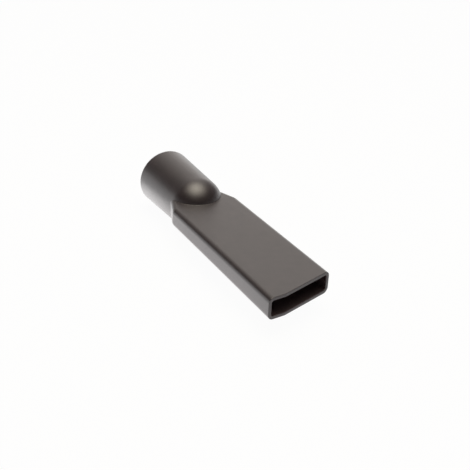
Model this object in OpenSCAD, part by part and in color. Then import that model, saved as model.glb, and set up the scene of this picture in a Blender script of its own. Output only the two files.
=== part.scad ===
// Flat vacuum nozzle, moulded in one piece with an even wall.
// A round socket takes the vacuum pipe, a round dome closes over its end, and a flat
// drafted duct runs forward out of the dome to a mouth that falls back on its right.
// Y is the nozzle's axis: the pipe goes in from +Y and the mouth faces -Y. Z is up.

/* [Pipe socket] */
// Outside diameter of the socket at its open rim
socket_rim_d = 40; // [39.2:0.2:44]
// Outside diameter of the socket where the dome begins
socket_neck_d = 37.4; // [36.4:0.2:38.4]
// Length from the open rim to the centre of the dome
socket_len = 46.8; // [40:0.2:60]
// Diameter of the straight seat that grips the pipe
seat_d = 35.2; // [34:0.1:36.4]
// Length of the straight seat
seat_len = 22; // [14:1:28]
// Width of the lead-in chamfer at the open rim
lead_in = 0.8; // [0.4:0.1:1.4]
// Width of the broken outer edge of the rim
rim_break = 0.2; // [0.1:0.1:0.8]

/* [Flat duct] */
// Thickness of the duct and dome walls
wall = 2.1; // [1.5:0.1:2.8]
// Length from the shoulder corners to the left corner of the mouth, its foremost point
duct_len = 127; // [90:0.1:160]
// Outside width of the duct at the shoulders
duct_back_w = 48.8; // [44:0.2:60]
// Outside height of the duct at the shoulders
duct_back_h = 13.4; // [11:0.2:16]
// Outside width of the duct at the mouth
mouth_w = 50.3; // [45:0.1:62]
// Outside height of the duct at the mouth
mouth_h = 14.9; // [12:0.1:18]
// Radius of the four long edges
edge_r = 3.6; // [2.4:0.1:5]

/* [Shoulders] */
// Distance from the centre of the dome to the shoulder corners
shoulder_ahead = 13.9; // [10:0.1:20]
// Angle between a slanted shoulder and the nozzle's axis
shoulder_angle = 21.5; // [18:0.5:32]
// Radius that rounds a shoulder corner, seen from above
shoulder_r = 9; // [5:1:30]

/* [Mouth cut] */
// Width of the foremost part of the mouth, from the left side
front_w = 12.2; // [8:0.2:20]
// Angle by which the foremost part falls back from square
front_angle = 5; // [1:1:10]
// Angle by which the rest of the mouth falls back from square
slant_angle = 18; // [12:1:30]
// Radius where the foremost part turns into the slanted part
bend_r = 5; // [2:0.5:8]

/* [Hidden] */
// Facets round the axis, round a long edge, round a shoulder's end, and in plan.
smooth = 96;
edge_steps = 48;
end_steps = 24;
plan_steps = 120;
bend_steps = 6;
plastic = [0.13, 0.125, 0.12];
// The least radius of an inner edge, and the length of the stubs that span the duct.
least_r = 0.3;
stub = 0.1;
// How far a cutting or joining shape runs past the face that it meets.
over = 1;
blend_over = 0.3;
// The origin is the mouth of the straight seat, so the rim is one lead-in beyond it.
rim_y = lead_in;
dome_y = rim_y - socket_len;
shoulder_y = dome_y - shoulder_ahead;
mouth_y = shoulder_y - duct_len;
dome_r = socket_neck_d / 2;
dome_in_r = dome_r - wall;
seat_r = seat_d / 2;
throat_len = socket_len - lead_in - seat_len;
// The draft carries on a little past the mouth, where the duct is cut to length.
form_over = 6;
form_w = mouth_w + (mouth_w - duct_back_w) * form_over / duct_len;
form_h = mouth_h + (mouth_h - duct_back_h) * form_over / duct_len;
form_y = mouth_y - form_over;
// Centre of a shoulder's plan arc. Its slanted face runs back until the socket hides it.
arc_x = duct_back_w / 2 - shoulder_r;
arc_y = shoulder_y - shoulder_r * tan(shoulder_angle / 2);
hidden_x = sqrt(pow(dome_r, 2) - pow(duct_back_h / 2, 2)) - wall;
slant_run = (arc_x + shoulder_r * cos(shoulder_angle) - hidden_x) / sin(shoulder_angle);
// Plan place of the bend in the mouth, and of the centre of its rounding.
bend_x = front_w - mouth_w / 2;
bend_y = mouth_y + front_w * tan(front_angle);
bend_back = bend_r * tan((slant_angle - front_angle) / 2);
round_x = bend_x - bend_back * cos(front_angle) - bend_r * sin(front_angle);
round_y = bend_y - bend_back * sin(front_angle) + bend_r * cos(front_angle);

// Radius of the long edges on a skin that lies deeper by the inset.
function skin_r(inset) = max(edge_r - inset, least_r);

// A round shape placed on the axis and turned to point at the mouth, its seam on top.
module toward_mouth(y) {
    translate([0, y, 0])
        rotate([90, 0, 0])
            rotate([0, 0, 90])
                children();
}

// A cone on the axis that narrows evenly and runs a hair past its narrow end.
module narrowing(from_y, len, r_wide, r_narrow) {
    r_end = r_narrow - (r_wide - r_narrow) / len * blend_over;
    toward_mouth(from_y)
        cylinder(h = len + blend_over, r1 = r_wide, r2 = r_end, $fn = smooth);
}

// One shoulder of the duct: its corner, rounded in plan, and the end of its slanted face.
module shoulder(inset) {
    r = skin_r(inset);
    reach = shoulder_r - inset - r;
    half_h = duct_back_h / 2 - inset;
    translate([arc_x, arc_y, 0])
        for (z = [half_h - r, r - half_h]) {
            rotate_extrude(angle = shoulder_angle, $fn = plan_steps)
                translate([reach, z]) circle(r = r, $fn = edge_steps);
            rotate([0, 0, shoulder_angle])
                translate([reach, slant_run, z]) sphere(r = r, $fn = end_steps);
        }
}

// The four rounded corners of the duct's section, a little past the mouth.
module mouth_corners(inset) {
    r = skin_r(inset);
    for (sx = [-1, 1], sz = [-1, 1])
        translate([sx * (form_w / 2 - inset - r), form_y, sz * (form_h / 2 - inset - r)])
            rotate([-90, 0, 0]) cylinder(h = stub, r = r, $fn = edge_steps);
}

// The flat duct as a full body, drawn in by the inset on every side.
module duct_body(inset) {
    hull() {
        shoulder(inset);
        mirror([1, 0, 0]) shoulder(inset);
        mouth_corners(inset);
    }
}

// Everything outside: the tapered socket with its broken rim, the dome and the duct.
module outer_form() {
    rim_r = socket_rim_d / 2;
    difference() {
        narrowing(rim_y, socket_len, rim_r, dome_r);
        toward_mouth(rim_y + over)
            difference() {
                cylinder(h = over + rim_break, r = rim_r + over, $fn = smooth);
                cylinder(h = over + rim_break, r1 = rim_r - rim_break - over, r2 = rim_r, $fn = smooth);
            }
    }
    toward_mouth(dome_y) sphere(r = dome_r, $fn = smooth);
    duct_body(0);
}

// Everything inside: lead-in, straight seat, narrowing throat, dome and duct.
module passage() {
    toward_mouth(rim_y + over)
        cylinder(h = lead_in + over, r1 = seat_r + lead_in + over, r2 = seat_r, $fn = smooth);
    toward_mouth(rim_y + over)
        cylinder(h = lead_in + over + seat_len, r = seat_r, $fn = smooth);
    narrowing(-seat_len, throat_len, seat_r, dome_in_r);
    toward_mouth(dome_y) sphere(r = dome_in_r, $fn = smooth);
    duct_body(wall);
}

// What the mouth cut takes away, seen from above: nearly square at the left, then slanted.
module mouth_cut() {
    turn = (slant_angle - front_angle) / bend_steps;
    bend = [
        for (a = [front_angle:turn:slant_angle + turn / 2])
            [round_x + bend_r * sin(a), round_y - bend_r * cos(a)]
    ];
    left_y = bend_y - (mouth_w + bend_x) * tan(front_angle);
    right_y = bend_y + (mouth_w - bend_x) * tan(slant_angle);
    left = [[-mouth_w, form_y - over], [-mouth_w, left_y]];
    right = [[mouth_w, right_y], [mouth_w, form_y - over]];
    translate([0, 0, -mouth_h])
        linear_extrude(height = 2 * mouth_h)
            polygon(concat(left, bend, right));
}

module nozzle() {
    color(plastic)
    difference() {
        outer_form();
        passage();
        mouth_cut();
    }
}

nozzle();
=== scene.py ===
# %% [markdown]
# # A flat vacuum nozzle in black moulded plastic
# The nozzle is one hollow moulding: a round socket for the pipe, a dome over its end and
# a long flat duct with a slanted mouth. Its shape is hard and exact, so the solid from the
# CAD model is shown as it is. What Blender adds is the finish: the grain of the mould, the
# uneven sheen, the softened and rubbed edges, and the light of a small white studio.

# %% Load the frame and note its size
import bpy
import math
from mathutils import Matrix, Vector


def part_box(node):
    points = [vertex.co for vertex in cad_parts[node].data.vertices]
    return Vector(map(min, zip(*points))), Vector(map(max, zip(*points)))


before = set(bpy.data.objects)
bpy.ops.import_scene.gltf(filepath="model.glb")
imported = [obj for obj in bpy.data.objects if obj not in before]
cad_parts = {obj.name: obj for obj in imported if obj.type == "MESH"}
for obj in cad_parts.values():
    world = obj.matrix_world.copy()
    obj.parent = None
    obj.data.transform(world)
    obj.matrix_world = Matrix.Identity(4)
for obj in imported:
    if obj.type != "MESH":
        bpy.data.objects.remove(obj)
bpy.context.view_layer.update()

MM = 0.001
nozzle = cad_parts["nozzle"]
low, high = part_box("nozzle")
print("nozzle from", [round(v, 4) for v in low], "to", [round(v, 4) for v in high])

# %% [markdown]
# A material is a graph of nodes, and its maths reads better as maths. This small class
# wraps one output socket. Adding or multiplying two of them adds the Math node that does
# it, so `0.4 + 0.1 * grain` builds the same graph as placing the nodes by hand. Every
# other kind of node comes from `node`, which sets its options first and its sockets next,
# and gives back the node's outputs.

# %% Sockets that can be added and multiplied
class Socket:
    def __init__(self, output):
        self.output = output
        self.tree = output.id_data

    @classmethod
    def node(cls, tree, kind, settings=None, inputs=None):
        made = tree.nodes.new(kind)
        for name, value in (settings or {}).items():
            setattr(made, name, value)
        for name, value in (inputs or {}).items():
            if isinstance(value, cls):
                tree.links.new(value.output, made.inputs[name])
            else:
                made.inputs[name].default_value = value
        return [cls(output) for output in made.outputs]

    def maths(self, operation, *values):
        return self.node(self.tree, "ShaderNodeMath", {"operation": operation},
                         dict(enumerate(values)))[0]

    def __add__(self, other):
        return self.maths("ADD", self, other)

    def __radd__(self, other):
        return self.maths("ADD", other, self)

    def __sub__(self, other):
        return self.maths("SUBTRACT", self, other)

    def __rsub__(self, other):
        return self.maths("SUBTRACT", other, self)

    def __mul__(self, other):
        return self.maths("MULTIPLY", self, other)

    def __rmul__(self, other):
        return self.maths("MULTIPLY", other, self)

    def exp(self):
        return self.maths("EXPONENT", self)

    def size(self):
        return self.maths("ABSOLUTE", self)

    def under(self, limit):
        return self.maths("LESS_THAN", self, limit)

    def over(self, limit):
        return self.maths("GREATER_THAN", self, limit)

    def clamped(self):
        return self.maths("MAXIMUM", self.maths("MINIMUM", self, 1.0), 0.0)


print("sockets can be added and multiplied")

# %% [markdown]
# A few short helpers save the rest of the typing. They pick a node's output by its name,
# do maths on vectors, take a vector apart, and mix two vectors or two colours.

# %% Helpers for the nodes used most
def named(tree, kind, name):
    """The output of that name, on a new node that needs no settings."""
    return next(made for made in Socket.node(tree, kind) if made.output.name == name)


def vectors(operation, *values):
    """A Vector Math node on these values: its vector and its number."""
    return Socket.node(values[0].tree, "ShaderNodeVectorMath", {"operation": operation},
                       dict(enumerate(values)))


def parts(vector):
    """The x, y and z of a vector socket."""
    return Socket.node(vector.tree, "ShaderNodeSeparateXYZ", None, {"Vector": vector})


def mix(kind, share, first, second):
    """A Mix node, which has its own sockets for vectors and for colours."""
    at_first, at_second, result = {"VECTOR": (4, 5, 1), "RGBA": (6, 7, 2)}[kind]
    return Socket.node(share.tree, "ShaderNodeMix", {"data_type": kind},
                       {0: share, at_first: first, at_second: second})[result]


def new_material(name):
    material = bpy.data.materials.new(name)
    material.use_nodes = True
    material.node_tree.nodes.clear()
    return material, material.node_tree


print("shader helpers ready")

# %% [markdown]
# The plastic is black with a little warmth, neither glossy nor dull. Four patterns carry
# it. The finest is the eroded grain of the steel mould, about a third of a millimetre
# across. The second is a slight cloudiness of the colour, and the third a broad change of
# sheen where hands have polished the surface. The fourth, drawn out along the nozzle, is
# the fine scratching that the steel leaves as it slides off. All are noise in the object's
# own coordinates, so they stick to the nozzle and need no unwrapping.

# %% Patterns in the plastic
GRAIN_CELL = 0.35 * MM
CLOUD_CELL = 6.0 * MM
HANDLED_CELL = 34.0 * MM
LINE_CELL = 0.9 * MM
ALONG_THE_NOZZLE = (1.0, 0.035, 1.0)

plastic, tree = new_material("moulded_plastic")
place = named(tree, "ShaderNodeTexCoord", "Object")
x, y, z = parts(place)


def noise(cell, detail, stretch=(1.0, 1.0, 1.0)):
    """A soft pattern of the given cell size, between about 0.25 and 0.75."""
    return Socket.node(tree, "ShaderNodeTexNoise", {"noise_dimensions": "3D"},
                       {"Vector": vectors("MULTIPLY", place, stretch)[0],
                        "Scale": 1.0 / cell, "Detail": detail})[0]


mould_grain = noise(GRAIN_CELL, detail=3.0)
cloud = noise(CLOUD_CELL, detail=3.0)
handled = noise(HANDLED_CELL, detail=2.0)
draw_lines = noise(LINE_CELL, detail=2.0, stretch=ALONG_THE_NOZZLE)
print("patterns:", len(tree.nodes), "nodes")

# %% [markdown]
# The inside was shaped by a steel core that was pulled out along the nozzle. The core side
# is smoother than the grained outside, with fine draw lines, and it is painted a little
# paler: painted light that stands in for the light the dim inside lacks. It could be given
# its own material slot, but the solid has a single one, so its place is written as three
# simple volumes instead: the bore, the ball of the dome and the flat duct, which widens
# towards the mouth. The lips of the mouth are told by where they are and by the way they
# face.

# %% Where the inside and the lips are
DOME_Y = -46.0 * MM
BORE_WITHIN = 18.3 * MM
DOME_WITHIN = 17.5 * MM
DUCT_FROM = -61.9 * MM
DUCT_HALF_WIDTH = 22.4 * MM
DUCT_HALF_HEIGHT = 4.7 * MM
DUCT_SPREAD = 0.0059
LIPS_FROM = -165.0 * MM
LIPS_FACE = -0.9

from_axis = x * x + z * z
in_bore = from_axis.under(BORE_WITHIN ** 2) * y.over(DOME_Y)
from_dome = y - DOME_Y
in_dome = (from_axis + from_dome * from_dome).under(DOME_WITHIN ** 2)
wider = DUCT_SPREAD * (DUCT_FROM - y)
in_duct = (y.under(DUCT_FROM) * x.size().under(DUCT_HALF_WIDTH + wider)
           * z.size().under(DUCT_HALF_HEIGHT + wider))
core_side = (in_bore + in_dome + in_duct).clamped()

plain_normal = named(tree, "ShaderNodeNewGeometry", "Normal")
lips = y.under(LIPS_FROM) * parts(plain_normal)[1].under(LIPS_FACE)
print("inside and lips marked")

# %% [markdown]
# A moulding has no knife-sharp edges, because steel and plastic both round them a little.
# The Bevel node bends the shading normal within a fraction of a millimetre of an edge,
# which is how that rounding catches the light. Where the bent normal leaves the plain one
# there is an edge, and that difference is the mask for the slight polish and wear on it.
# The wear is patchy, so it follows the cloudiness, and the lips have less of it.

# %% Softened edges and their wear
EDGE_ROUND = 0.8 * MM
EDGE_SAMPLES = 8
EDGE_GAIN = 6.0
WORN_ANYWAY = 0.4
WORN_IN_PATCHES = 0.9
SPARED_ON_LIPS = 0.7

rounded = Socket.node(tree, "ShaderNodeBevel", {"samples": EDGE_SAMPLES},
                      {"Radius": EDGE_ROUND})[0]
edges = ((1.0 - vectors("DOT_PRODUCT", rounded, plain_normal)[1]) * EDGE_GAIN).clamped()
worn = (edges * (WORN_ANYWAY + WORN_IN_PATCHES * cloud)
        * (1.0 - SPARED_ON_LIPS * lips)).clamped()
print("edge mask ready")

# %% [markdown]
# The socket's surface is stitched together in a seam along its top, and there the shading
# normals of the mesh jump by a few degrees, which draws a faint line that a real moulding
# doesn't have. The outside of the socket is a plain cone, so the right normal is known
# from the place alone: straight out from the axis, and a hair towards the dome. It is
# laid over the top of the socket only, and fades out just before the rim.

# %% The true roundness of the socket
CONE_LEAN = -0.0278
SOCKET_BEYOND = 18.6 * MM
TOP_FROM = 8.0 * MM
FADE_FROM = 0.2 * MM
FADE_OVER = 1.1 * MM

outward = vectors("NORMALIZE", vectors("MULTIPLY", place, (1.0, 0.0, 1.0))[0])[0]
cone_normal = vectors("NORMALIZE", vectors("ADD", outward, (0.0, CONE_LEAN, 0.0))[0])[0]
on_socket_top = (from_axis.over(SOCKET_BEYOND ** 2) * z.over(TOP_FROM) * y.over(DOME_Y)
                 * ((FADE_FROM - y) * (1.0 / FADE_OVER)).clamped())
smooth = mix("VECTOR", on_socket_top, rounded, cone_normal)
print("socket normal ready")

# %% [markdown]
# The colour is a mix between the black of the plastic and a slightly paler grey, by the
# cloudiness, the grain and the wear. The core side is painted the palest, as painted light
# for the dim inside. Roughness follows the same patterns. Each number says how much of the
# mix or of the roughness a pattern moves, counted from the pattern's middle value.

# %% Colour and sheen
BLACK = (0.0202, 0.0126, 0.0148, 1.0)
PALER = (0.086, 0.062, 0.066, 1.0)
MIDDLE = 0.5

PALE_ANYWAY = 0.1
PALE_BY_CLOUD = 0.4
PALE_BY_GRAIN = 0.2
PALE_BY_WEAR = 0.3
# painted light: the inside is painted paler to stand in for the light the hollow lacks
PAINTED_LIGHT_INSIDE = 0.8

SHEEN = 0.36
ROUGHER_BY_HANDS = 0.10
ROUGHER_BY_GRAIN = 0.08
SMOOTHER_BY_WEAR = 0.06
SMOOTHER_INSIDE = 0.05
ROUGHER_ON_LIPS = 0.18

# the inside's share of paleness below is painted light, not a paler plastic
paleness = (PALE_ANYWAY + PALE_BY_CLOUD * (cloud - MIDDLE)
            + PALE_BY_GRAIN * (mould_grain - MIDDLE)
            + PALE_BY_WEAR * worn + PAINTED_LIGHT_INSIDE * core_side).clamped()
colour = mix("RGBA", paleness, BLACK, PALER)
roughness = (SHEEN + ROUGHER_BY_HANDS * (handled - MIDDLE)
             + ROUGHER_BY_GRAIN * (mould_grain - MIDDLE)
             - SMOOTHER_BY_WEAR * worn - SMOOTHER_INSIDE * core_side
             + ROUGHER_ON_LIPS * lips)
print("colour and sheen ready")

# %% [markdown]
# Grain and draw lines go into one height and through one Bump node, which sits on top of
# the rounded normal. The inside has less grain and deeper draw lines. A thin coat stands
# for the skin that a moulding takes from the polished steel. The cut lips don't have it,
# so they are duller.

# %% The finished plastic
GRAIN_DEEP = 0.8
GRAIN_LOST_INSIDE = 0.6
LINES_DEEP = 0.3
LINES_GAINED_INSIDE = 0.5
RELIEF = 0.05 * MM
RELIEF_STRENGTH = 0.5
SKIN = 0.5
MIRROR = 1.0

relief = ((GRAIN_DEEP - GRAIN_LOST_INSIDE * core_side) * mould_grain
          + (LINES_DEEP + LINES_GAINED_INSIDE * core_side) * draw_lines)
grained = Socket.node(tree, "ShaderNodeBump", None,
                      {"Strength": RELIEF_STRENGTH, "Distance": RELIEF, "Height": relief,
                       "Normal": smooth})[0]
skin = Socket.node(tree, "ShaderNodeBsdfPrincipled", None,
                   {"Base Color": colour, "Roughness": roughness,
                    "Specular IOR Level": MIRROR, "Coat Weight": SKIN - SKIN * lips,
                    "Coat Roughness": SHEEN, "Normal": grained})[0]
Socket.node(tree, "ShaderNodeOutputMaterial", None, {"Surface": skin})
for slot in nozzle.material_slots:
    slot.material = plastic
print("plastic on", len(nozzle.material_slots), "slot of the nozzle,", len(tree.nodes), "nodes")

# %% [markdown]
# The nozzle lies on a white table. To a camera ray the floor is almost pure white, with a
# few hundredths of the real lamp light mixed in, and they keep a faint shadow under the
# nozzle. Light that the plastic mirrors finds a white floor too. Only the light that
# bounces softly off the floor comes from an ordinary white surface.

# %% White floor
FLOOR_REACH = 40.0
SHADOW_SHARE = 0.04
PAPER = (0.9, 0.9, 0.9, 1.0)

floor_mesh = bpy.data.meshes.new("floor")
floor_mesh.from_pydata([(side * FLOOR_REACH, end * FLOOR_REACH, low[2])
                        for side, end in ((-1, -1), (1, -1), (1, 1), (-1, 1))],
                       [], [(0, 1, 2, 3)])
floor = bpy.data.objects.new("floor", floor_mesh)
bpy.context.scene.collection.objects.link(floor)

paper, tree = new_material("white_paper")
rays = {socket.output.name: socket for socket in Socket.node(tree, "ShaderNodeLightPath")}
mirrored = rays["Is Glossy Ray"] + rays["Is Transmission Ray"]
sheet = Socket.node(tree, "ShaderNodeBsdfDiffuse", None, {"Color": PAPER})[0]
white = Socket.node(tree, "ShaderNodeEmission", None, {"Strength": 1.0})[0]
seen = (rays["Is Camera Ray"] * (1.0 - SHADOW_SHARE) + mirrored).clamped()
both = Socket.node(tree, "ShaderNodeMixShader", None, {0: seen, 1: sheet, 2: white})[0]
Socket.node(tree, "ShaderNodeOutputMaterial", None, {"Surface": both})
floor_mesh.materials.append(paper)
print("floor at", round(low[2], 4))

# %% [markdown]
# A softbox hangs straight above and draws the soft spot on the dome. Two glowing strips
# lie on the table along the nozzle's left edge, and its side mirrors them. A lamp with a
# hard rim would show as a hard patch in the plastic, so each one fades from its middle,
# as cloth in front of a flash does. How bright a lamp's middle looks in a mirror is
# turned into its power by its area.

# %% Softbox and table strips
WARM = (1.0, 0.92, 0.78)
ROSY = (1.0, 0.9, 0.9)
NEUTRAL = (1.0, 1.0, 1.0)
FADE = 10.0
STRIP_LIFT = 0.3 * MM


def panel(name, centre, aim, width, depth, shows, tint):
    lamp = bpy.data.lights.new(name, "AREA")
    lamp.shape = "RECTANGLE"
    lamp.size = width
    lamp.size_y = depth
    lamp.color = tint
    lamp.energy = shows * math.pi * width * depth
    lamp.use_nodes = True
    lamp.node_tree.nodes.clear()
    across, along, _ = parts(named(lamp.node_tree, "ShaderNodeNewGeometry", "Parametric"))
    from_middle = (across - 0.5) * (across - 0.5) + (along - 0.5) * (along - 0.5)
    glowing = Socket.node(lamp.node_tree, "ShaderNodeEmission", None,
                          {"Strength": (-FADE * from_middle).exp()})[0]
    Socket.node(lamp.node_tree, "ShaderNodeOutputLight", None, {"Surface": glowing})
    stand = bpy.data.objects.new(name, lamp)
    stand.location = centre
    stand.rotation_euler = (Vector(aim) - Vector(centre)).to_track_quat("-Z", "Y").to_euler()
    stand.visible_camera = False
    bpy.context.scene.collection.objects.link(stand)


table = low[2] + STRIP_LIFT
panel("softbox", centre=(0.0, -0.10, 1.30), aim=(0.0, -0.08, 0.0),
      width=2.0, depth=2.0, shows=4.0, tint=WARM)
panel("strip_by_socket", centre=(-0.03, 0.02, table), aim=(-0.03, 0.02, 1.0),
      width=0.07, depth=0.14, shows=0.9, tint=NEUTRAL)
panel("strip_by_duct", centre=(-0.03, -0.09, table), aim=(-0.03, -0.09, 1.0),
      width=0.08, depth=0.40, shows=0.63, tint=ROSY)

# %% [markdown]
# The walls of the room are dark, with a pale haze along the horizon that carries the white
# of the table on, and a few broad soft glows. The strongest stands low behind the nozzle
# on its right, where the flat top mirrors it towards the camera. Haze and glows all fall
# off smoothly, the haze with height and a glow with the angle to its middle, so none of
# them has a rim.

# %% The walls of the room
PALE_LIGHT = (1.0, 0.99, 0.98, 1.0)
WALL_LIGHT = (1.0, 0.945, 0.895, 1.0)
WALLS = 0.01
HAZE = 0.86
HAZE_HEIGHT = 0.14
SHARPNESS = 8.0
GLOWS = ((60, 5, 0.9), (50, 55, 0.63), (100, 30, 0.13))

room = bpy.data.worlds.new("room")
bpy.context.scene.world = room
room.use_nodes = True
tree = room.node_tree
tree.nodes.clear()
way = named(tree, "ShaderNodeTexCoord", "Generated")


def glow(azimuth, elevation, strength):
    """A soft glow around a direction, given in degrees."""
    turn, rise = math.radians(azimuth), math.radians(elevation)
    middle = (math.cos(turn) * math.cos(rise), math.sin(turn) * math.cos(rise), math.sin(rise))
    return strength * (SHARPNESS * (vectors("DOT_PRODUCT", way, middle)[1] - 1.0)).exp()


height = parts(way)[2]
haze = HAZE * (height * height * (-1.0 / HAZE_HEIGHT ** 2)).exp()
walls = WALLS
for azimuth, elevation, strength in GLOWS:
    walls = walls + glow(azimuth, elevation, strength)
pale = Socket.node(tree, "ShaderNodeBackground", None,
                   {"Color": PALE_LIGHT, "Strength": haze})[0]
warm = Socket.node(tree, "ShaderNodeBackground", None,
                   {"Color": WALL_LIGHT, "Strength": walls})[0]
sky = Socket.node(tree, "ShaderNodeAddShader", None, {0: pale, 1: warm})[0]
Socket.node(tree, "ShaderNodeOutputWorld", None, {"Surface": sky})
print("room:", len(tree.nodes), "nodes")

# %% [markdown]
# The photograph looks down at the nozzle from its mouth end and a little from the left,
# with a long lens and a slight tilt. The place, the aim and the tilt were found by laying
# the outline of the solid over the picture.

# %% Camera
EYE = Vector((-305.22, -619.53, 317.48)) * MM
AIM = Vector((1.12, -100.01, 1.08)) * MM
TILT = math.radians(3.103)
SENSOR = 36.0
FOCAL_LENGTH = 80.52
NEAREST = 0.01
FARTHEST = 200.0

lens = bpy.data.cameras.new("camera")
lens.sensor_width = SENSOR
lens.lens = FOCAL_LENGTH
lens.clip_start = NEAREST
lens.clip_end = FARTHEST
camera = bpy.data.objects.new("camera", lens)
facing = (AIM - EYE).to_track_quat("-Z", "Y").to_matrix().to_4x4()
camera.matrix_world = Matrix.Translation(EYE) @ facing @ Matrix.Rotation(TILT, 4, "Z")
bpy.context.scene.collection.objects.link(camera)
bpy.context.scene.camera = camera
print("camera", round((AIM - EYE).length, 4), "m from its aim")

# %% [markdown]
# The colours are shown plainly, with no film curve.

# %% Colours
bpy.context.scene.view_settings.view_transform = "Standard"
